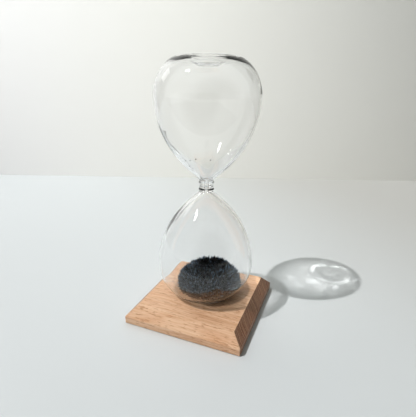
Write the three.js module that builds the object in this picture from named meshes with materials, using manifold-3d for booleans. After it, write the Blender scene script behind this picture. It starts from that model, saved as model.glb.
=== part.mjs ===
// Magnetic sand timer: a blown glass vessel half full of air and iron powder, standing loose on
// a square beech base with a ring magnet sunk into its underside.
// Millimetres, +Z up, origin at the middle of the underside.

import * as THREE from 'three';
import { mergeVertices } from 'three/addons/utils/BufferGeometryUtils.js';
import Module from 'manifold-3d';

const wasm = await Module();
wasm.setup();

const point = (radius, height) => new THREE.Vector2(radius, height);

// ---------------------------------------------------------------- driving dimensions

const gap = 0.3; // clearance between pieces that touch
const past = 1; // how far a cutter runs out of the face that it cuts

const baseSide = 80;
const baseTop = 11.8;
const bevelInset = 6.1;
const bevelHeight = 6.6;

const feltRadius = 30;
const feltThickness = 1.2;
const feltProud = 0.3; // the felt stands this far below the wood

const magnetRadius = 16;
const magnetHoleRadius = 7;
const magnetThickness = 6;

const vesselY = 2.7; // the loose vessel stands a little behind the middle of the base
const vesselHalfHeight = 77.4;
const bellyRadius = 32.4;
const bellyHeight = 55.3; // from the middle of the neck to the widest ring of a bulb
const neckFlare = 2; // handles of the two curves that meet at the widest ring
const funnelHandle = 33.2;
const shoulderHandle = 9;
const footHandle = point(8.7, -1.9);
const footRadius = 17.5; // outer edge of the flat end ring
const dimpleRadius = 10; // inner edge of the flat end ring
const dimpleFloorRadius = 4.3;
const dimpleDepth = 3.4;
const wall = 1.3;
const footWall = 1.6;

const neckRadius = 4.4;
const neckHalfLength = 3.6;
const neckBore = 1;
const beadRadius = 4.75; // the two fused beads of the neck
const beadHeight = 2.5;

const heapShift = 3.3; // the powder gathers beside the axis of the vessel
const heapFootRadius = 14;
const heapBulge = 25.6; // pulls the flank out to a radius of 21
const heapShoulder = 21.8; // pulls its upper part in towards the crest
const heapCrestRadius = 11;
const heapCrest = 31.6; // heights of the heap, from the table
const heapWidest = 17.6;
const craterFloor = 26.5;

const roundSides = 32; // facets round the vessel and the powder
const pocketSides = 48; // facets round the magnet, the felt and their pockets

// ---------------------------------------------------------------- derived places

const bevelFoot = baseTop - bevelHeight;
const feltTop = feltThickness;
const magnetBottom = feltTop + gap;
const pocketTop = magnetBottom + magnetThickness + gap;
const vesselFoot = baseTop + gap;
const neckZ = vesselFoot + vesselHalfHeight;
const powderFloor = vesselFoot + footWall + gap;
const dimpleRise = dimpleDepth + gap;

// ---------------------------------------------------------------- materials

const beech = new THREE.MeshStandardMaterial({ color: 0xdcae86, roughness: 0.6, metalness: 0 });
const ferrite = new THREE.MeshStandardMaterial({ color: 0x2b2b2d, roughness: 0.7, metalness: 0.2 });
const felt = new THREE.MeshStandardMaterial({ color: 0x3a3a3c, roughness: 1, metalness: 0 });
const powder = new THREE.MeshStandardMaterial({ color: 0x2d373e, roughness: 0.6, metalness: 0.4 });
const glass = new THREE.MeshStandardMaterial({
  color: 0xe9f1f1, roughness: 0.03, metalness: 0, transparent: true, opacity: 0.3,
});

// ---------------------------------------------------------------- small helpers

/** A body turned about Z from an outline of (radius, height) points. */
function turned(outline, sides) {
  return new THREE.LatheGeometry(outline, sides).rotateX(Math.PI / 2);
}

/** A plain round disc from one height to another. */
function disc(radius, bottom, top, sides = pocketSides) {
  return turned([point(0, bottom), point(radius, bottom), point(radius, top), point(0, top)], sides);
}

/** The manifold-3d solid of a closed geometry. */
function toSolid(geometry) {
  const bare = geometry.clone();
  bare.deleteAttribute('normal');
  bare.deleteAttribute('uv');
  const merged = mergeVertices(bare, 1e-4);
  const solid = new wasm.Mesh({
    numProp: 3,
    vertProperties: new Float32Array(merged.attributes.position.array),
    triVerts: new Uint32Array(merged.index.array),
  });
  solid.merge();
  return new wasm.Manifold(solid);
}

/** A geometry with others cut out of it. */
function cut(geometry, cutters) {
  const solid = cutters.reduce((rest, cutter) => rest.subtract(toSolid(cutter)), toSolid(geometry));
  const { vertProperties, triVerts } = solid.getMesh();
  const result = new THREE.BufferGeometry();
  result.setAttribute('position', new THREE.BufferAttribute(vertProperties, 3));
  result.setIndex(new THREE.BufferAttribute(triVerts, 1));
  result.computeVertexNormals();
  return result;
}

function piece(name, geometry, material) {
  const mesh = new THREE.Mesh(geometry, material);
  mesh.name = name;
  return mesh;
}

// ---------------------------------------------------------------- base

/** Square block with mitred bevels round its top and two round pockets in its underside. */
function woodenBase() {
  const corner = Math.SQRT1_2 * baseSide;
  const topCorner = corner - Math.SQRT2 * bevelInset;
  const outline = [
    point(0, feltProud),
    point(corner, feltProud),
    point(corner, bevelFoot),
    point(topCorner, baseTop),
    point(0, baseTop),
  ];
  const block = turned(outline, 4).rotateZ(Math.PI / 4);
  return cut(block, [
    disc(feltRadius + gap, -past, feltTop + gap),
    disc(magnetRadius + gap, -past, pocketTop),
  ]);
}

function ringMagnet() {
  const top = magnetBottom + magnetThickness;
  const outline = [
    point(magnetHoleRadius, magnetBottom),
    point(magnetRadius, magnetBottom),
    point(magnetRadius, top),
    point(magnetHoleRadius, top),
    point(magnetHoleRadius, magnetBottom),
  ];
  return turned(outline, pocketSides);
}

// ---------------------------------------------------------------- vessel

/** One side of a bulb's wall, from the neck to the flat end: a flaring funnel, then the shoulder. */
function bulbSide(throatRadius, widest, endHeight) {
  const funnel = new THREE.CubicBezierCurve(
    point(throatRadius, neckHalfLength),
    point(throatRadius, neckHalfLength + neckFlare),
    point(widest, bellyHeight - funnelHandle),
    point(widest, bellyHeight),
  );
  const shoulder = new THREE.CubicBezierCurve(
    point(widest, bellyHeight),
    point(widest, bellyHeight + shoulderHandle),
    point(footRadius, endHeight).add(footHandle),
    point(footRadius, endHeight),
  );
  return [...funnel.getPoints(12), ...shoulder.getPoints(8).slice(1)];
}

/** The end of a bulb, from its flat ring down the shallow dimple to the axis. */
function bulbEnd(endHeight, widening) {
  return [
    point(dimpleRadius + widening, endHeight),
    point(dimpleFloorRadius + widening, endHeight - dimpleDepth),
    point(0, endHeight - dimpleDepth),
  ];
}

/** Thin glass bulb standing on its neck, open at the neck. */
function bulb() {
  const innerEnd = vesselHalfHeight - footWall;
  const outside = [
    ...bulbSide(neckRadius, bellyRadius, vesselHalfHeight),
    ...bulbEnd(vesselHalfHeight, 0),
  ];
  const inside = [
    ...bulbSide(neckBore, bellyRadius - wall, innerEnd),
    ...bulbEnd(innerEnd, wall / 2),
  ];
  return turned([...inside.reverse(), ...outside], roundSides);
}

/** Short thick capillary between the bulbs, with a bead at each of its ends. */
function neckTube() {
  const end = neckHalfLength - gap;
  const outline = [
    point(neckBore, -end),
    point(neckRadius, -end),
    point(beadRadius, -beadHeight),
    point(neckRadius, -beadHeight / 2),
    point(neckRadius, beadHeight / 2),
    point(beadRadius, beadHeight),
    point(neckRadius, end),
    point(neckBore, end),
    point(neckBore, -end),
  ];
  return turned(outline, roundSides);
}

// ---------------------------------------------------------------- powder

/** Ring-shaped heap with a crater, hollowed below where the end of the bulb rises into it. */
function powderHeap() {
  const flank = new THREE.CubicBezierCurve(
    point(heapFootRadius, powderFloor),
    point(heapBulge, heapWidest),
    point(heapShoulder, heapCrest - 8.1),
    point(heapCrestRadius, heapCrest),
  );
  const crater = new THREE.CubicBezierCurve(
    point(heapCrestRadius, heapCrest),
    point(heapCrestRadius / 2, heapCrest + 0.5),
    point(heapCrestRadius / 2, craterFloor),
    point(0, craterFloor),
  );
  const outline = [point(0, powderFloor), ...flank.getPoints(12), ...crater.getPoints(6).slice(1)];
  const heap = turned(outline, roundSides).translate(heapShift, 0, 0);
  const rise = powderFloor + dimpleRise;
  const dimple = turned([
    point(0, powderFloor - past),
    point(dimpleRadius + wall + past, powderFloor - past),
    point(dimpleFloorRadius + wall, rise),
    point(0, rise),
  ], roundSides);
  return cut(heap, [dimple]);
}

// ---------------------------------------------------------------- assembly

const base = new THREE.Group();
base.add(
  piece('wooden_base', woodenBase(), beech),
  piece('ring_magnet', ringMagnet(), ferrite),
  piece('felt_pad', disc(feltRadius, 0, feltTop), felt),
);

const vessel = new THREE.Group();
const lowerBulb = piece('lower_bulb', bulb(), glass);
lowerBulb.rotation.x = Math.PI;
vessel.add(lowerBulb, piece('neck_tube', neckTube(), glass), piece('upper_bulb', bulb(), glass));
vessel.position.set(0, vesselY, neckZ);

const ironPowder = piece('iron_powder', powderHeap(), powder);
ironPowder.position.y = vesselY;

const hourglass = new THREE.Group();
hourglass.add(base, vessel, ironPowder);

export default hourglass;
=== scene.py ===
"""Magnetic hourglass: finishes for the base, a blown vessel, a heap of iron powder and a plain studio."""

import math

import bpy
import numpy as np
from mathutils import Matrix, Vector, noise


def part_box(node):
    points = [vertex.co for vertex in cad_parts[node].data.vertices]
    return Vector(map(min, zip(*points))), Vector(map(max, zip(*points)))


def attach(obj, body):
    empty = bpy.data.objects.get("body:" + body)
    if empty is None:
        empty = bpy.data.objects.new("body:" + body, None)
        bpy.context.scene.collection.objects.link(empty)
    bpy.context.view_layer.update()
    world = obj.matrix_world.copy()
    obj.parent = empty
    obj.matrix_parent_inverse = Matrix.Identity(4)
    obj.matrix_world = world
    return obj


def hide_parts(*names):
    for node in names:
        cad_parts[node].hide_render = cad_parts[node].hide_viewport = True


bl_info = {
    "name": "Magnetic hourglass",
    "version": (1, 0, 0),
    "blender": (4, 5, 0),
    "location": "3D View > Sidebar > Hourglass",
    "description": "Builds a magnetic hourglass and its studio around a fixed frame",
    "category": "Object",
}

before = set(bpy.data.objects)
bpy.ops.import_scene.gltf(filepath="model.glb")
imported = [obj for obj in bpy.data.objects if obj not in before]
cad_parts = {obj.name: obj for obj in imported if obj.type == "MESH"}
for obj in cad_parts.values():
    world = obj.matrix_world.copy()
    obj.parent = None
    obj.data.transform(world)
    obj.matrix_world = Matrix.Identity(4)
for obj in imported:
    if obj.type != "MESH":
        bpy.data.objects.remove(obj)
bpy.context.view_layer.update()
MM = 0.001

NECK_LOW, NECK_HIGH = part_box("neck_tube")
VESSEL_LOW, VESSEL_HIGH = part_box("lower_bulb")[0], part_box("upper_bulb")[1]
NECK_CENTRE = (NECK_LOW + NECK_HIGH) / 2
VESSEL_HALF_HEIGHT = (VESSEL_HIGH.z - VESSEL_LOW.z) / 2
BELLY_RADIUS = (VESSEL_HIGH.x - VESSEL_LOW.x) / 2
HEAP_LOW, HEAP_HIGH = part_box("iron_powder")
MAGNET_LOW, MAGNET_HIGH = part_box("ring_magnet")

VESSEL_SIDES = 160
NEEDLE_SIDES = 5
NEEDLE_CUTS = 14
# Where loose grains cling: azimuth in degrees, height above the middle of the neck in millimetres.
GRAIN_PLACES = ((-113, 19.5), (-100, 20.2), (-88, 21.5), (-61, 21.3), (-120, 14.9), (-110, 14.1))
BOARD_REACH = 2.5


# ---------------------------------------------------------------- helpers


def linear(code):
    """A colour written as sRGB hex, as the linear colour that shaders use."""
    values = [int(code[i : i + 2], 16) / 255 for i in (0, 2, 4)]
    return [v / 12.92 if v <= 0.04045 else ((v + 0.055) / 1.055) ** 2.4 for v in values] + [1.0]


def add_node(tree, kind, inputs=None, **settings):
    """Add one node with its settings, and set each named input to a value or link it to an output."""
    made = tree.nodes.new(kind)
    for name, value in settings.items():
        setattr(made, name, value)
    for name, value in (inputs or {}).items():
        if isinstance(value, bpy.types.NodeSocket):
            tree.links.new(value, made.inputs[name])
        else:
            made.inputs[name].default_value = value
    return made


def new_material(name):
    """An empty node material and its tree."""
    material = bpy.data.materials.new(name)
    material.use_nodes = True
    material.node_tree.nodes.clear()
    return material, material.node_tree


def wear(piece, material):
    """Give a piece one material."""
    piece.data.materials.clear()
    piece.data.materials.append(material)


def new_piece(name, vertices, faces, material, smooth=True):
    """A mesh object at the origin, with its place in its vertices."""
    mesh = bpy.data.meshes.new(name)
    mesh.from_pydata([tuple(v) for v in vertices], [], faces)
    mesh.update()
    mesh.polygons.foreach_set("use_smooth", [smooth] * len(mesh.polygons))
    piece = bpy.data.objects.new(name, mesh)
    bpy.context.scene.collection.objects.link(piece)
    wear(piece, material)
    return piece


def bezier(start, first, second, end, count):
    """Points along a cubic curve, both ends included."""
    t = np.linspace(0, 1, count)[:, None]
    start, first, second, end = (np.array(p, float) for p in (start, first, second, end))
    return (1 - t) ** 3 * start + 3 * (1 - t) ** 2 * t * first + 3 * (1 - t) * t**2 * second + t**3 * end


def turned(outline, sides, centre):
    """Vertices and faces of an outline of (radius, height) turned about Z; it starts and ends on the axis."""
    angles = np.arange(sides) * 2 * math.pi / sides
    rings = outline[1:-1]
    low = [(centre[0], centre[1], centre[2] + outline[0][1])]
    high = [(centre[0], centre[1], centre[2] + outline[-1][1])]
    walls = [
        (centre[0] + r * math.cos(a), centre[1] + r * math.sin(a), centre[2] + h)
        for r, h in rings
        for a in angles
    ]
    top = 1 + len(rings) * sides
    faces = []
    for side in range(sides):
        after = (side + 1) % sides
        faces.append((0, 1 + after, 1 + side))
        for ring in range(len(rings) - 1):
            here, above = 1 + ring * sides, 1 + (ring + 1) * sides
            faces.append((here + side, here + after, above + after, above + side))
        last = 1 + (len(rings) - 1) * sides
        faces.append((last + side, last + after, top))
    return low + walls + high, faces


# ---------------------------------------------------------------- settings


class BaseSettings(bpy.types.PropertyGroup):
    """Sizes and colours of the wooden base"""

    edge_round: bpy.props.FloatProperty(
        name="Edge rounding",
        description="How far sanding has rounded the edges",
        default=0.5 * MM,
        min=0,
        unit="LENGTH",
    )
    pale: bpy.props.FloatVectorProperty(
        name="Pale wood",
        description="Early wood between the growth rings",
        default=linear("F1CCA9"),
        size=4,
        min=0,
        max=1,
        subtype="COLOR",
    )
    dark: bpy.props.FloatVectorProperty(
        name="Dark wood",
        description="Late wood of the growth rings",
        default=linear("D39C73"),
        size=4,
        min=0,
        max=1,
        subtype="COLOR",
    )
    fleck: bpy.props.FloatVectorProperty(
        name="Flecks",
        description="Short rays that dot planed beech",
        default=linear("B97F58"),
        size=4,
        min=0,
        max=1,
        subtype="COLOR",
    )
    end_pale: bpy.props.FloatVectorProperty(
        name="End grain, pale",
        description="Tint of the early wood on the sawn ends, which drink more oil",
        default=linear("CDBBB0"),
        size=4,
        min=0,
        max=1,
        subtype="COLOR",
    )
    end_dark: bpy.props.FloatVectorProperty(
        name="End grain, dark",
        description="Tint of the late wood on the sawn ends",
        default=linear("8C7A70"),
        size=4,
        min=0,
        max=1,
        subtype="COLOR",
    )


class VesselSettings(bpy.types.PropertyGroup):
    """Sizes of the blown glass vessel, measured from the middle of its neck"""

    belly_height: bpy.props.FloatProperty(
        name="Belly height",
        description="From the neck to the widest ring of a bulb",
        default=55.3 * MM,
        unit="LENGTH",
    )
    foot_radius: bpy.props.FloatProperty(
        name="Foot radius",
        description="Outer edge of the flat ring at each end",
        default=17.5 * MM,
        unit="LENGTH",
    )
    dimple_radius: bpy.props.FloatProperty(
        name="Dimple radius",
        description="Inner edge of the flat ring at each end",
        default=10 * MM,
        unit="LENGTH",
    )
    dimple_depth: bpy.props.FloatProperty(
        name="Dimple depth",
        description="How far the middle of each end is sucked in",
        default=3.4 * MM,
        unit="LENGTH",
    )
    wall: bpy.props.FloatProperty(
        name="Wall",
        description="Thickness of the glass at the belly",
        default=1.3 * MM,
        unit="LENGTH",
    )
    foot_wall: bpy.props.FloatProperty(
        name="Foot wall",
        description="Thickness of the glass at the ends",
        default=1.6 * MM,
        unit="LENGTH",
    )
    neck_radius: bpy.props.FloatProperty(
        name="Neck radius",
        description="Outer radius of the neck between its beads",
        default=4.4 * MM,
        unit="LENGTH",
    )
    neck_half: bpy.props.FloatProperty(
        name="Half neck",
        description="Half the length of the neck",
        default=3.6 * MM,
        unit="LENGTH",
    )
    bore: bpy.props.FloatProperty(
        name="Bore",
        description="Radius of the hole that the powder runs through",
        default=1 * MM,
        unit="LENGTH",
    )
    tint: bpy.props.FloatVectorProperty(
        name="Tint",
        description="What little colour the glass has",
        default=linear("FFFFFF"),
        size=4,
        min=0,
        max=1,
        subtype="COLOR",
    )


class PowderSettings(bpy.types.PropertyGroup):
    """Sizes and colours of the iron powder"""

    spacing: bpy.props.FloatProperty(
        name="Needle spacing",
        description="From one needle of powder to the next",
        default=1.45 * MM,
        min=0.5 * MM,
        unit="LENGTH",
    )
    length: bpy.props.FloatProperty(
        name="Needle length",
        description="How far a needle stands out of the heap",
        default=2.5 * MM,
        unit="LENGTH",
    )
    sunk: bpy.props.FloatProperty(
        name="Sunk",
        description="How much of a needle is hidden in the heap",
        default=0.6 * MM,
        unit="LENGTH",
    )
    width: bpy.props.FloatProperty(
        name="Needle width",
        description="Radius of a needle at its root",
        default=0.5 * MM,
        unit="LENGTH",
    )
    # The root colour is painted shade: the powder is drawn almost black deep between the needles, where shade
    # falls.
    root: bpy.props.FloatVectorProperty(
        name="Root",
        description="Colour of the powder deep between the needles",
        default=linear("030405"),
        size=4,
        min=0,
        max=1,
        subtype="COLOR",
    )
    tip: bpy.props.FloatVectorProperty(
        name="Tip",
        description="Colour of the powder at the ends of the needles",
        default=linear("667F94"),
        size=4,
        min=0,
        max=1,
        subtype="COLOR",
    )


class StudioSettings(bpy.types.PropertyGroup):
    """Camera, backdrop and lights"""

    eye: bpy.props.FloatVectorProperty(
        name="Eye",
        description="Where the camera stands",
        default=(0.0824, -0.2016, 0.1544),
        subtype="TRANSLATION",
    )
    turn: bpy.props.FloatProperty(
        name="Turn",
        description="How far the camera looks to the left of straight back",
        default=math.radians(21.64),
        unit="ROTATION",
    )
    pitch: bpy.props.FloatProperty(
        name="Pitch",
        description="How far the camera looks down",
        default=math.radians(20.18),
        unit="ROTATION",
    )
    roll: bpy.props.FloatProperty(
        name="Roll",
        description="How far the camera leans",
        default=math.radians(0.856),
        unit="ROTATION",
    )
    lens: bpy.props.FloatProperty(
        name="Lens",
        description="Focal length in millimetres on a 36 mm frame",
        default=30.48,
    )
    wall_distance: bpy.props.FloatProperty(
        name="Wall distance",
        description="From the middle of the base back to the wall",
        default=350 * MM,
        unit="LENGTH",
    )
    key_from: bpy.props.FloatVectorProperty(
        name="Key from",
        description="Direction in which the key light stands",
        default=(-0.497, -0.485, 1.0),
        subtype="DIRECTION",
    )
    key_strength: bpy.props.FloatProperty(
        name="Key strength",
        description="Light of the key on a face that looks straight at it",
        default=2.45,
    )
    halo_strength: bpy.props.FloatProperty(
        name="Halo strength",
        description="Brightness of the key light's reflection in the glass",
        default=0.25,
    )
    window_power: bpy.props.FloatProperty(
        name="Window",
        description="Power of the window on the left",
        default=0.15,
        unit="POWER",
    )
    ambient: bpy.props.FloatProperty(
        name="Ambient",
        description="Share of the room's light that reaches dull surfaces",
        default=0.13,
        subtype="FACTOR",
    )
    room: bpy.props.FloatVectorProperty(
        name="Room",
        description="Colour of the room round the table",
        default=linear("F2F5F5"),
        size=4,
        min=0,
        max=1,
        subtype="COLOR",
    )
    room_dark: bpy.props.FloatVectorProperty(
        name="Dark side",
        description="Colour of the unlit side of the room",
        default=linear("2C2C2C"),
        size=4,
        min=0,
        max=1,
        subtype="COLOR",
    )
    wash_power: bpy.props.FloatProperty(
        name="Wall light",
        description="Power of the soft light on the left of the wall",
        default=71,
        unit="POWER",
    )


# ---------------------------------------------------------------- base


def streaks(tree, millimetres, stretch, detail):
    """Noise drawn out along the board; stretch is how many of its waves fit in a millimetre each way."""
    scaled = add_node(tree, "ShaderNodeVectorMath", {0: millimetres, 1: stretch}, operation="MULTIPLY")
    made = add_node(
        tree,
        "ShaderNodeTexNoise",
        {"Vector": scaled.outputs[0], "Scale": 1.0, "Detail": detail, "Roughness": 0.6},
    )
    return made.outputs["Fac"]


def step_up(tree, value, low, high):
    """0 below low, 1 above high, smooth between."""
    made = add_node(
        tree,
        "ShaderNodeMapRange",
        {"Value": value, "From Min": low, "From Max": high},
        interpolation_type="SMOOTHSTEP",
    )
    return made.outputs[0]


def blend(tree, share, first, second, mode="MIX"):
    """Two colours mixed by a share."""
    made = add_node(
        tree, "ShaderNodeMix", {0: share, 6: first, 7: second}, data_type="RGBA", blend_type=mode
    )
    return made.outputs[2]


def sum_of(tree, *parts):
    """The sum of values, each given with its weight."""
    total = 0.0
    for value, weight in parts:
        total = add_node(
            tree, "ShaderNodeMath", {0: value, 1: weight, 2: total}, operation="MULTIPLY_ADD"
        ).outputs[0]
    return total


def planed_beech(settings):
    """Planed beech, oiled: pale pinkish brown with fine growth rings and short darker rays along the
    grain; the sawn ends are darker, with the rings standing out on them."""
    material, tree = new_material("planed_oiled_beech")
    place = add_node(tree, "ShaderNodeTexCoord")
    millimetres = add_node(
        tree, "ShaderNodeVectorMath", {0: place.outputs["Object"], "Scale": 1000.0}, operation="SCALE"
    ).outputs[0]

    # The rings lean at about 45 degrees in the end of the board, and wander a little along it.
    wander = streaks(tree, millimetres, (0.012, 0.05, 0.05), 2.0)
    across = add_node(
        tree, "ShaderNodeVectorMath", {0: millimetres, 1: (0.0, 0.74, -0.67)}, operation="DOT_PRODUCT"
    ).outputs["Value"]
    ring_place = sum_of(tree, (wander, 9.0), (across, 1.0))
    rings = add_node(
        tree,
        "ShaderNodeTexNoise",
        {"W": ring_place, "Scale": 0.55, "Detail": 3.0, "Roughness": 0.65},
        noise_dimensions="1D",
    )
    ring = step_up(tree, rings.outputs["Fac"], 0.36, 0.66)
    # Fibres run the length of the board, drawn about 0.7 mm wide so that they show.
    fibre = streaks(tree, millimetres, (0.05, 1.3, 1.3), 4.0)
    # Rays: short dashes about 3 mm long, drawn 0.6 mm wide where the real ones are 0.2 mm.
    ray = step_up(tree, streaks(tree, millimetres, (0.18, 1.1, 1.1), 2.0), 0.55, 0.64)
    # Now and then a long stripe is a shade darker.
    stripe = step_up(tree, streaks(tree, millimetres, (0.028, 0.42, 0.42), 3.0), 0.56, 0.74)
    patch = streaks(tree, millimetres, (0.02, 0.1, 0.1), 2.0)

    tone = sum_of(tree, (ring, 0.3), (fibre, 0.9), (patch, 0.6))
    wood = blend(tree, step_up(tree, tone, 0.45, 1.35), settings.pale, settings.dark)
    wood = blend(tree, sum_of(tree, (ray, 0.7)), wood, settings.fleck)
    wood = blend(tree, sum_of(tree, (stripe, 0.5)), wood, settings.fleck)

    # Faces that look along the grain are end grain.
    facing = add_node(
        tree,
        "ShaderNodeVectorMath",
        {0: place.outputs["Normal"], 1: (1.0, 0.0, 0.0)},
        operation="DOT_PRODUCT",
    )
    end = add_node(tree, "ShaderNodeMath", {0: facing.outputs["Value"]}, operation="ABSOLUTE").outputs[0]
    # On the ends the rings show as fine lines about 1 mm apart.
    lines = add_node(
        tree,
        "ShaderNodeTexNoise",
        {"W": ring_place, "Scale": 1.1, "Detail": 3.0, "Roughness": 0.7},
        noise_dimensions="1D",
    )
    line = step_up(tree, lines.outputs["Fac"], 0.35, 0.62)
    end_tint = blend(tree, line, settings.end_pale, settings.end_dark)
    wood = blend(tree, step_up(tree, end, 0.5, 0.7), wood, end_tint, "MULTIPLY")

    bump = add_node(
        tree,
        "ShaderNodeBump",
        {"Height": sum_of(tree, (ray, -1.0), (fibre, 1.0)), "Strength": 0.35, "Distance": 0.05 * MM},
    )
    gloss = add_node(tree, "ShaderNodeMapRange", {"Value": fibre, "To Min": 0.36, "To Max": 0.5})
    shader = add_node(
        tree,
        "ShaderNodeBsdfPrincipled",
        {"Base Color": wood, "Roughness": gloss.outputs[0], "IOR": 1.5, "Normal": bump.outputs[0]},
    )
    add_node(tree, "ShaderNodeOutputMaterial", {"Surface": shader.outputs[0]})
    return material


def sintered_ferrite():
    """Sintered ferrite, ground flat: a dull charcoal ceramic with fine grit."""
    material, tree = new_material("sintered_ferrite")
    place = add_node(tree, "ShaderNodeTexCoord")
    grit = add_node(
        tree, "ShaderNodeTexNoise", {"Vector": place.outputs["Object"], "Scale": 2500.0, "Detail": 2.0}
    )
    colour = add_node(
        tree,
        "ShaderNodeMix",
        {0: grit.outputs["Fac"], 6: linear("232325"), 7: linear("38383B")},
        data_type="RGBA",
    ).outputs[2]
    bump = add_node(
        tree,
        "ShaderNodeBump",
        {"Height": grit.outputs["Fac"], "Strength": 0.4, "Distance": 0.03 * MM},
    )
    shader = add_node(
        tree,
        "ShaderNodeBsdfPrincipled",
        {"Base Color": colour, "Roughness": 0.62, "Metallic": 0.15, "Normal": bump.outputs[0]},
    )
    add_node(tree, "ShaderNodeOutputMaterial", {"Surface": shader.outputs[0]})
    return material


def pressed_felt():
    """Pressed wool felt: matted charcoal fibres with a soft sheen at grazing angles."""
    material, tree = new_material("pressed_felt")
    place = add_node(tree, "ShaderNodeTexCoord")
    mat = add_node(
        tree, "ShaderNodeTexNoise", {"Vector": place.outputs["Object"], "Scale": 1400.0, "Detail": 4.0}
    )
    colour = add_node(
        tree,
        "ShaderNodeMix",
        {0: mat.outputs["Fac"], 6: linear("2A2A2C"), 7: linear("4A4A4D")},
        data_type="RGBA",
    ).outputs[2]
    bump = add_node(
        tree,
        "ShaderNodeBump",
        {"Height": mat.outputs["Fac"], "Strength": 0.8, "Distance": 0.2 * MM},
    )
    shader = add_node(
        tree,
        "ShaderNodeBsdfPrincipled",
        {"Base Color": colour, "Roughness": 0.95, "Sheen Weight": 0.3, "Normal": bump.outputs[0]},
    )
    add_node(tree, "ShaderNodeOutputMaterial", {"Surface": shader.outputs[0]})
    return material


class HOURGLASS_OT_base(bpy.types.Operator):
    """Round the edges of the base and finish the wood, the magnet and the felt"""

    bl_idname = "hourglass.base"
    bl_label = "Base"

    def execute(self, context):
        settings = context.scene.hourglass_base
        board, magnet, felt = (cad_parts[n] for n in ("wooden_base", "ring_magnet", "felt_pad"))
        wood = bpy.data.objects.new("sanded_base", board.data.copy())
        wood.matrix_world = board.matrix_world.copy()
        context.scene.collection.objects.link(wood)
        weld = wood.modifiers.new("weld", "WELD")
        weld.merge_threshold = 0.01 * MM
        bevel = wood.modifiers.new("sanded_edges", "BEVEL")
        bevel.width = settings.edge_round
        bevel.segments = 3
        bevel.limit_method = "ANGLE"
        bevel.angle_limit = math.radians(30)
        wear(wood, planed_beech(settings))
        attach(wood, "base")
        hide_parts("wooden_base")
        wear(magnet, sintered_ferrite())
        wear(felt, pressed_felt())
        return {"FINISHED"}


# ---------------------------------------------------------------- vessel


def clear_glass(settings):
    """Lamp-blown borosilicate: clear and thin, it shows as grey lines where the wall is seen edge on,
    and lets most of the light through, so its shadow is pale with a darker rim."""
    material, tree = new_material("blown_borosilicate_glass")
    glass = add_node(
        tree,
        "ShaderNodeBsdfPrincipled",
        {"Base Color": settings.tint, "Roughness": 0.0, "IOR": 1.474, "Transmission Weight": 1.0},
    )
    edge = add_node(tree, "ShaderNodeLayerWeight", {"Blend": 0.35})
    passed = add_node(
        tree,
        "ShaderNodeMix",
        {0: edge.outputs["Facing"], 6: linear("FFFFFF"), 7: linear("A8ACAC")},
        data_type="RGBA",
    ).outputs[2]
    light = add_node(tree, "ShaderNodeBsdfTransparent", {"Color": passed})
    path = add_node(tree, "ShaderNodeLightPath")
    mixed = add_node(
        tree,
        "ShaderNodeMixShader",
        {0: path.outputs["Is Shadow Ray"], 1: glass.outputs[0], 2: light.outputs[0]},
    )
    add_node(tree, "ShaderNodeOutputMaterial", {"Surface": mixed.outputs[0]})
    return material


def bulb_side(settings, throat, belly, end):
    """One side of a bulb's wall from the neck to the flat end: a flaring funnel, then the shoulder."""
    flare, funnel_handle, shoulder_handle = 2 * MM, 33.2 * MM, 9 * MM
    foot_handle = (8.7 * MM, -1.9 * MM)
    height, foot = settings.belly_height, settings.foot_radius
    funnel = bezier(
        (throat, settings.neck_half),
        (throat, settings.neck_half + flare),
        (belly, height - funnel_handle),
        (belly, height),
        90,
    )
    shoulder = bezier(
        (belly, height),
        (belly, height + shoulder_handle),
        (foot + foot_handle[0], end + foot_handle[1]),
        (foot, end),
        50,
    )
    return np.vstack([funnel, shoulder[1:]])


def bulb_end(settings, end, widening, scar):
    """The end of a bulb from its flat ring down the dimple to the axis, with the seal scar in it."""
    floor_radius = 4.3 * MM + widening
    rim = settings.dimple_radius + widening
    radii = np.concatenate([np.linspace(settings.foot_radius, rim, 8)[1:], np.linspace(rim, 0, 40)[1:]])
    fall = np.clip((rim - radii) / (rim - floor_radius), 0, 1)
    depth = settings.dimple_depth * fall * fall * (3 - 2 * fall)
    pip = scar * np.exp(-((radii / (1.6 * MM)) ** 2))
    return np.column_stack([radii, end - depth + pip])


def vessel_surface(settings, inside):
    """Outline of the outer or the inner face of the whole vessel, from end to end."""
    end = VESSEL_HALF_HEIGHT
    throat, belly, widening, scar = settings.neck_radius, BELLY_RADIUS, 0.0, 0.9 * MM
    heights = np.linspace(0, settings.neck_half, 24)[:-1]
    bead = 0.6 * MM * np.exp(-(((heights - 2.3 * MM) / (0.75 * MM)) ** 2))
    if inside:
        end -= settings.foot_wall
        throat, belly, widening, scar = settings.bore, belly - settings.wall, settings.wall / 2, 0.0
        bead = 0 * heights
    half = np.vstack(
        [
            np.column_stack([throat + bead, heights]),
            bulb_side(settings, throat, belly, end),
            bulb_end(settings, end, widening, scar),
        ]
    )
    mirrored = half[:0:-1] * (1, -1)
    return np.vstack([mirrored, half])


def waver(point, amount, grain, shift):
    """A point pushed sideways by the slow unevenness that blowing leaves in a wall."""
    x, y, z = point
    away = Vector((x - NECK_CENTRE.x, y - NECK_CENTRE.y, 0))
    if away.length < 2 * MM:
        return point
    push = amount * noise.noise(Vector(point) / grain + Vector((0, 0, shift)))
    away.normalize()
    return (x + away.x * push, y + away.y * push, z)


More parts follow.
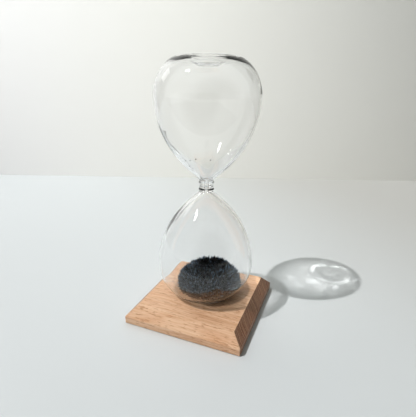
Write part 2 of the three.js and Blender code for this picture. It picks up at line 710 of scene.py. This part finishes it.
class HOURGLASS_OT_vessel(bpy.types.Operator):
    """Blow the vessel: both bulbs and the neck between them are one piece of glass"""

    bl_idname = "hourglass.vessel"
    bl_label = "Vessel"

    def execute(self, context):
        settings = context.scene.hourglass_vessel
        outer, outer_faces = turned(vessel_surface(settings, False), VESSEL_SIDES, NECK_CENTRE)
        inner, inner_faces = turned(vessel_surface(settings, True), VESSEL_SIDES, NECK_CENTRE)
        outer = [waver(p, 0.05 * MM, 20 * MM, 0) for p in outer]
        inner = [waver(p, 0.2 * MM, 14 * MM, 5) for p in inner]
        shift = len(outer)
        inner_faces = [tuple(shift + i for i in reversed(face)) for face in inner_faces]
        vessel = new_piece("glass_vessel", outer + inner, outer_faces + inner_faces, clear_glass(settings))
        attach(vessel, "vessel")
        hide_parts("lower_bulb", "neck_tube", "upper_bulb")
        vessel.cycles.is_caustics_caster = True
        return {"FINISHED"}


# ---------------------------------------------------------------- powder


def iron_powder(settings):
    """Fine iron powder held in needles by a magnet, blue-grey and faintly metallic. It is painted almost
    black deep between the needles and lighter towards their tips: painted shade between the needles."""
    material, tree = new_material("magnetised_iron_powder")
    place = add_node(tree, "ShaderNodeTexCoord")
    along = add_node(tree, "ShaderNodeAttribute", attribute_name="needle_tip")
    # Single grains are about 0.1 mm; they are drawn 0.3 mm so that they show.
    grains = add_node(
        tree,
        "ShaderNodeTexNoise",
        {"Vector": place.outputs["Object"], "Scale": 2200.0, "Detail": 2.0},
    )
    # needle_tip holds how far along its needle a point lies, times the needle's random tone and painted
    # shade; low values give the painted shade of the root colour.
    raised = sum_of(tree, (grains.outputs["Fac"], 0.5), (along.outputs["Fac"], 1.0))
    share = step_up(tree, raised, 0.65, 1.35)
    colour = blend(tree, share, settings.root, settings.tip)
    bump = add_node(
        tree,
        "ShaderNodeBump",
        {"Height": grains.outputs["Fac"], "Strength": 0.7, "Distance": 0.1 * MM},
    )
    shader = add_node(
        tree,
        "ShaderNodeBsdfPrincipled",
        {"Base Color": colour, "Metallic": 0.8, "Roughness": 0.45, "Normal": bump.outputs[0]},
    )
    add_node(tree, "ShaderNodeOutputMaterial", {"Surface": shader.outputs[0]})
    return material


def heap_outline():
    """The flank and the crater of the heap, from its foot to its axis, as (radius, height)."""
    floor, crest = HEAP_LOW.z, HEAP_HIGH.z
    foot, bulge, shoulder, crest_radius = 14 * MM, 25.6 * MM, 21.8 * MM, 11 * MM
    crater = crest - 5.1 * MM
    flank = bezier(
        (foot, floor), (bulge, floor + 3.6 * MM), (shoulder, crest - 8.1 * MM), (crest_radius, crest), 60
    )
    hollow = bezier(
        (crest_radius, crest),
        (crest_radius / 2, crest + 0.5 * MM),
        (crest_radius / 2, crater),
        (0, crater),
        30,
    )
    return np.vstack([flank, hollow[1:]])


def inner_wall(settings):
    """Inner radius of the lower bulb by height, as two rows that rise together."""
    belly, end = BELLY_RADIUS - settings.wall, VESSEL_HALF_HEIGHT - settings.foot_wall
    side = bulb_side(settings, settings.bore, belly, end)
    return (NECK_CENTRE.z - side[:, 1])[::-1], side[::-1, 0]


def needle(root, direction, length, width, sides):
    """Vertices and faces of one needle: a tapering spike that closes in a point at each end."""
    direction = direction / np.linalg.norm(direction)
    across = np.cross(direction, (0.0, 0.0, 1.0) if abs(direction[2]) < 0.9 else (1.0, 0.0, 0.0))
    across /= np.linalg.norm(across)
    beside = np.cross(direction, across)
    vertices, shares = [root], [0.0]
    for share, thick in ((0.02, 0.9), (0.35, 1.0), (0.7, 0.5)):
        for side in range(sides):
            angle = 2 * math.pi * (side + share) / sides
            ring = across * math.cos(angle) + beside * math.sin(angle)
            vertices.append(root + direction * length * share + ring * width * thick)
            shares.append(share)
    vertices.append(root + direction * length)
    shares.append(1.0)
    faces = []
    for side in range(sides):
        after = (side + 1) % sides
        faces.append((0, 1 + after, 1 + side))
        for low in (1, 1 + sides):
            faces.append((low + side, low + after, low + sides + after, low + sides + side))
        faces.append((1 + 2 * sides + side, 1 + 2 * sides + after, 1 + 3 * sides))
    return vertices, faces, shares


def fit_needle(root, direction, length, heights, radii, floor):
    """Shorten a needle until its tip is clear of the even inner wall. The waver of the wall and the
    dimple in its end aren't looked at, so a few needles still stand in the glass."""
    for _ in range(NEEDLE_CUTS):
        tip = root + direction * length
        reach = math.hypot(tip[0] - NECK_CENTRE.x, tip[1] - NECK_CENTRE.y)
        if reach < np.interp(tip[2], heights, radii) - 0.25 * MM and tip[2] > floor:
            break
        length *= 0.85
    return length


class HOURGLASS_OT_powder(bpy.types.Operator):
    """Cover the heap of iron powder with needles that lean away from the magnet's pole"""

    bl_idname = "hourglass.powder"
    bl_label = "Powder"

    def execute(self, context):
        settings, glass = context.scene.hourglass_powder, context.scene.hourglass_vessel
        random = np.random.default_rng(7)
        centre = (HEAP_LOW + HEAP_HIGH) / 2
        magnet = (MAGNET_LOW + MAGNET_HIGH) / 2
        pole_ring = 11.5 * MM
        heights, radii = inner_wall(glass)
        floor = VESSEL_LOW.z + glass.foot_wall + 0.2 * MM
        outline = heap_outline()
        steps = np.linalg.norm(np.diff(outline, axis=0), axis=1)
        lengths = np.concatenate([[0], np.cumsum(steps)])
        vertices, faces, shares = [], [], []
        ring_count = int(lengths[-1] / settings.spacing)
        for ring in range(ring_count + 1):
            at = lengths[-1] * ring / ring_count
            r, h = (np.interp(at, lengths, outline[:, i]) for i in (0, 1))
            ahead = [np.interp(at + 0.2 * MM, lengths, outline[:, i]) for i in (0, 1)]
            behind = [np.interp(at - 0.2 * MM, lengths, outline[:, i]) for i in (0, 1)]
            slope = np.subtract(ahead, behind)
            out = np.array([slope[1], -slope[0]]) / np.linalg.norm(slope)
            count = max(1, int(2 * math.pi * r / settings.spacing))
            start = random.uniform(0, 2 * math.pi)
            for step in range(count):
                angle = start + 2 * math.pi * (step + random.uniform(-0.35, 0.35)) / count
                away = np.array([math.cos(angle), math.sin(angle)])
                shift = random.uniform(-0.4, 0.4) * settings.spacing
                reach = r + shift * out[1]
                root = np.array([*(np.array(centre.xy) + away * reach), h - shift * out[0]])
                normal = np.array([*(away * out[0]), out[1]])
                pole = np.array([magnet.x + away[0] * pole_ring, magnet.y + away[1] * pole_ring, magnet.z])
                field = (root - pole) / np.linalg.norm(root - pole)
                direction = normal * 0.6 + field * 0.6 + random.normal(0, 0.16, 3)
                direction /= np.linalg.norm(direction)
                root = root - direction * settings.sunk
                length = settings.length * random.uniform(0.6, 1.3) + settings.sunk
                length = fit_needle(root, direction, length, heights, radii, floor)
                spike, spike_faces, spike_shares = needle(
                    root, direction, length, settings.width * random.uniform(0.75, 1.3), NEEDLE_SIDES
                )
                # Down in the crater and under the widest ring the tips are painted darker: painted shade
                # where the crater and the underside of the heap lie in shadow.
                dull = np.interp(reach, (9 * MM, 11 * MM), (0.7, 1.0)) if out[1] > -0.1 else 0.4
                base = len(vertices)
                vertices += spike
                faces += [tuple(base + i for i in face) for face in spike_faces]
                # Each tip's tone differs at random, times the painted shade above.
                tip_tone_and_painted_shade = dull * random.uniform(0.25, 1.5)
                shares += [tip_tone_and_painted_shade * share for share in spike_shares]
        material = iron_powder(settings)
        needles = new_piece("powder_needles", vertices, faces, material)
        tips = needles.data.attributes.new("needle_tip", "FLOAT", "POINT")
        tips.data.foreach_set("value", shares)
        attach(needles, "powder")
        wear(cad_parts["iron_powder"], material)
        return {"FINISHED"}


class HOURGLASS_OT_grains(bpy.types.Operator):
    """Leave a few grains of powder clinging low in the upper bulb"""

    bl_idname = "hourglass.grains"
    bl_label = "Loose grains"

    def execute(self, context):
        glass = context.scene.hourglass_vessel
        random = np.random.default_rng(3)
        belly, end = BELLY_RADIUS - glass.wall, VESSEL_HALF_HEIGHT - glass.foot_wall
        side = bulb_side(glass, glass.bore, belly, end)
        vertices, faces, shares = [], [], []
        for azimuth, height in GRAIN_PLACES:
            reach = np.interp(height * MM, side[:, 1], side[:, 0]) - 0.45 * MM
            angle = math.radians(azimuth)
            place = np.array([math.cos(angle) * reach, math.sin(angle) * reach, height * MM]) + NECK_CENTRE
            size = random.uniform(0.3, 0.42) * MM
            grain, grain_faces, _ = needle(place, random.normal(0, 1, 3), 2 * size, size, 6)
            base = len(vertices)
            vertices += grain
            faces += [tuple(base + i for i in face) for face in grain_faces]
            shares += [0.2] * len(grain)
        grains = new_piece(
            "loose_grains", vertices, faces, bpy.data.materials["magnetised_iron_powder"]
        )
        tips = grains.data.attributes.new("needle_tip", "FLOAT", "POINT")
        tips.data.foreach_set("value", shares)
        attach(grains, "vessel")
        return {"FINISHED"}


# ---------------------------------------------------------------- studio


def satin_board(name, near, far, away, reach, roughness):
    """Lacquered white board with a soft dull reflection; its colour is painted from near to far over the
    given distances along the direction away, as painted shade across the table and the wall."""
    material, tree = new_material(name)
    place = add_node(tree, "ShaderNodeTexCoord")
    along = add_node(
        tree, "ShaderNodeVectorMath", {0: place.outputs["Object"], 1: away}, operation="DOT_PRODUCT"
    )
    colour = blend(tree, step_up(tree, along.outputs["Value"], *reach), near, far)
    shader = add_node(tree, "ShaderNodeBsdfPrincipled", {"Base Color": colour, "Roughness": roughness})
    add_node(tree, "ShaderNodeOutputMaterial", {"Surface": shader.outputs[0]})
    return material


def dark_card(name, corners):
    """A flat dull black card that neither the camera nor dull surfaces see, and that casts no shadow."""
    colour = linear("0C0C0C")
    dull = satin_board(name, colour, colour, (0.0, 0.0, 1.0), (0.0, 1.0), 1.0)
    card = new_piece(name, corners, [(0, 1, 2, 3)], dull)
    card.visible_camera = False
    card.visible_diffuse = False
    card.visible_shadow = False
    return card


def turn_lamp(light, away):
    """Point a lamp against the direction it shines from."""
    light.rotation_mode = "QUATERNION"
    light.rotation_quaternion = Vector(away).to_track_quat("Z", "Y")
    bpy.context.scene.collection.objects.link(light)
    return light


def add_sun(name, away, strength, angle):
    """A lamp so far off that its light is parallel; away points to it."""
    lamp = bpy.data.lights.new(name, "SUN")
    lamp.energy = strength
    lamp.angle = angle
    return turn_lamp(bpy.data.objects.new(name, lamp), away)


def add_light(name, place, target, power, size):
    """A square soft light that shines from place to target."""
    lamp = bpy.data.lights.new(name, "AREA")
    lamp.energy = power
    lamp.size = size
    light = bpy.data.objects.new(name, lamp)
    light.location = place
    return turn_lamp(light, Vector(place) - Vector(target))


def add_spot(name, place, target, power):
    """A lamp with a wide soft edge to its cone."""
    lamp = bpy.data.lights.new(name, "SPOT")
    lamp.energy = power
    lamp.spot_size = math.radians(52)
    lamp.spot_blend = 1
    lamp.shadow_soft_size = 0.1
    light = bpy.data.objects.new(name, lamp)
    light.location = place
    return turn_lamp(light, Vector(place) - Vector(target))


def bright_room(settings):
    """A pale room, darker behind the camera to its right. What lights dull things is weaker than what
    the glass mirrors, so that shadows keep their depth."""
    world = bpy.data.worlds.new("room")
    world.use_nodes = True
    tree = world.node_tree
    tree.nodes.clear()
    place = add_node(tree, "ShaderNodeTexCoord")
    facing = add_node(
        tree,
        "ShaderNodeVectorMath",
        {0: place.outputs["Generated"], 1: (0.62, -0.78, -0.05)},
        operation="DOT_PRODUCT",
    )
    share = step_up(tree, facing.outputs["Value"], 0.5, 0.9)
    colour = blend(tree, share, settings.room, settings.room_dark)
    path = add_node(tree, "ShaderNodeLightPath")
    strength = add_node(
        tree,
        "ShaderNodeMapRange",
        {"Value": path.outputs["Is Diffuse Ray"], "To Min": 1.0, "To Max": settings.ambient},
    ).outputs[0]
    sky = add_node(tree, "ShaderNodeBackground", {"Color": colour, "Strength": strength})
    add_node(tree, "ShaderNodeOutputWorld", {"Surface": sky.outputs[0]})
    return world


class HOURGLASS_OT_studio(bpy.types.Operator):
    """Lay the floor, stand the wall and set the lights and the camera"""

    bl_idname = "hourglass.studio"
    bl_label = "Studio"

    def execute(self, context):
        scene, settings = context.scene, context.scene.hourglass_studio
        scene.view_settings.view_transform = "Standard"

        # The table is painted darker towards the back right: painted shade where the room's light falls off.
        floor = new_piece(
            "floor",
            [(x * BOARD_REACH, y * BOARD_REACH, 0) for x, y in ((-1, -1), (1, -1), (1, 1), (-1, 1))],
            [(0, 1, 2, 3)],
            satin_board(
                "pale_table_painted_shade", linear("DEE3E4"), linear("C8C8C4"), (0.6, 0.8, 0.0), (-0.02, 0.36), 0.4
            ),
        )
        back = Vector((-math.sin(settings.turn), math.cos(settings.turn), 0))
        along = Vector((back.y, -back.x, 0)) * BOARD_REACH
        rise = Vector((0, 0, BOARD_REACH))
        foot = back * settings.wall_distance
        # The wall is painted darker at the left and lighter towards the right: painted shade that sets how
        # the wall light falls off across it.
        wall = new_piece(
            "wall",
            [foot - along, foot + along, foot + along + rise, foot - along + rise],
            [(0, 3, 2, 1)],
            satin_board(
                "pale_wall_painted_shade", linear("CACAC9"), linear("D8D8D2"), (0.88, 0.47, 0.0), (-0.35, 0.05), 0.8
            ),
        )
        # A dark card that only the glass sees draws the dark line at the left of the lower bulb.
        left_card = dark_card(
            "left_card", [(-0.26, 0.16, 0.0), (-0.19, 0.23, 0.0), (-0.19, 0.23, 0.06), (-0.26, 0.16, 0.06)]
        )
        left_card.visible_glossy = False
        # A second card stands for the dark beyond the table's front end, which the glass mirrors.
        table_end = dark_card(
            "table_end", [(-0.885, -0.49, MM), (0.365, 0.0, MM), (1.0, -1.1, MM), (-0.4, -1.5, MM)]
        )
        table_end.visible_transmission = False

        key = add_sun("key", settings.key_from, settings.key_strength, math.radians(0.9))
        key.data.cycles.is_caustics_light = True
        key.visible_glossy = False
        # The lamp's bright halo: it only shows in the glass.
        halo = add_sun("key_halo", settings.key_from, settings.halo_strength, math.radians(7))
        halo.visible_diffuse = False
        window = add_light("window", (-0.46, 0.03, 0.38), (0, 0, 0.1), settings.window_power, 0.14)
        window.visible_transmission = False
        wash = add_spot("wall_wash", (-0.45, -0.7, 0.9), (-0.318, 0.25, 0.258), settings.wash_power)
        lit = bpy.data.collections.new("lit_by_wash")
        lit.objects.link(wall)
        wash.light_linking.receiver_collection = lit
        for receiver in (floor, bpy.data.objects["sanded_base"]):
            receiver.cycles.is_caustics_receiver = True

        scene.world = bright_room(settings)
        scene.cycles.sample_clamp_indirect = 60
        # Light runs round inside the wall of the glass before it leaves; what stays in longer is lost.
        scene.cycles.max_bounces = 32
        scene.cycles.glossy_bounces = 15
        scene.cycles.transmission_bounces = 32

        lens = bpy.data.cameras.new("camera")
        lens.lens = settings.lens
        lens.sensor_width = 36
        lens.clip_start = 0.01
        camera = bpy.data.objects.new("camera", lens)
        camera.matrix_world = (
            Matrix.Translation(settings.eye)
            @ Matrix.Rotation(settings.turn, 4, "Z")
            @ Matrix.Rotation(math.pi / 2 - settings.pitch, 4, "X")
            @ Matrix.Rotation(settings.roll, 4, "Z")
        )
        scene.collection.objects.link(camera)
        scene.camera = camera
        return {"FINISHED"}


# ---------------------------------------------------------------- panel and registration


class HOURGLASS_PT_pieces(bpy.types.Panel):
    """Everything that builds the hourglass"""

    bl_label = "Hourglass"
    bl_idname = "HOURGLASS_PT_pieces"
    bl_space_type = "VIEW_3D"
    bl_region_type = "UI"
    bl_category = "Hourglass"

    def draw(self, context):
        for name, operators in PANEL_ROWS:
            box = self.layout.box()
            settings = getattr(context.scene, name)
            for field in settings.bl_rna.properties:
                if field.identifier not in ("rna_type", "name"):
                    box.prop(settings, field.identifier)
            for operator in operators:
                box.operator(operator.bl_idname)


SETTINGS = {
    "hourglass_base": BaseSettings,
    "hourglass_vessel": VesselSettings,
    "hourglass_powder": PowderSettings,
    "hourglass_studio": StudioSettings,
}
PANEL_ROWS = (
    ("hourglass_base", (HOURGLASS_OT_base,)),
    ("hourglass_vessel", (HOURGLASS_OT_vessel,)),
    ("hourglass_powder", (HOURGLASS_OT_powder, HOURGLASS_OT_grains)),
    ("hourglass_studio", (HOURGLASS_OT_studio,)),
)
CLASSES = (
    *SETTINGS.values(),
    HOURGLASS_OT_base,
    HOURGLASS_OT_vessel,
    HOURGLASS_OT_powder,
    HOURGLASS_OT_grains,
    HOURGLASS_OT_studio,
    HOURGLASS_PT_pieces,
)


def register():
    for made in CLASSES:
        bpy.utils.register_class(made)
    for name, group in SETTINGS.items():
        setattr(bpy.types.Scene, name, bpy.props.PointerProperty(type=group))


def unregister():
    for name in SETTINGS:
        delattr(bpy.types.Scene, name)
    for made in reversed(CLASSES):
        bpy.utils.unregister_class(made)


def main():
    """Build every piece in order."""
    register()
    bpy.ops.hourglass.base()
    bpy.ops.hourglass.vessel()
    bpy.ops.hourglass.powder()
    bpy.ops.hourglass.grains()
    bpy.ops.hourglass.studio()


if __name__ == "__main__":
    main()
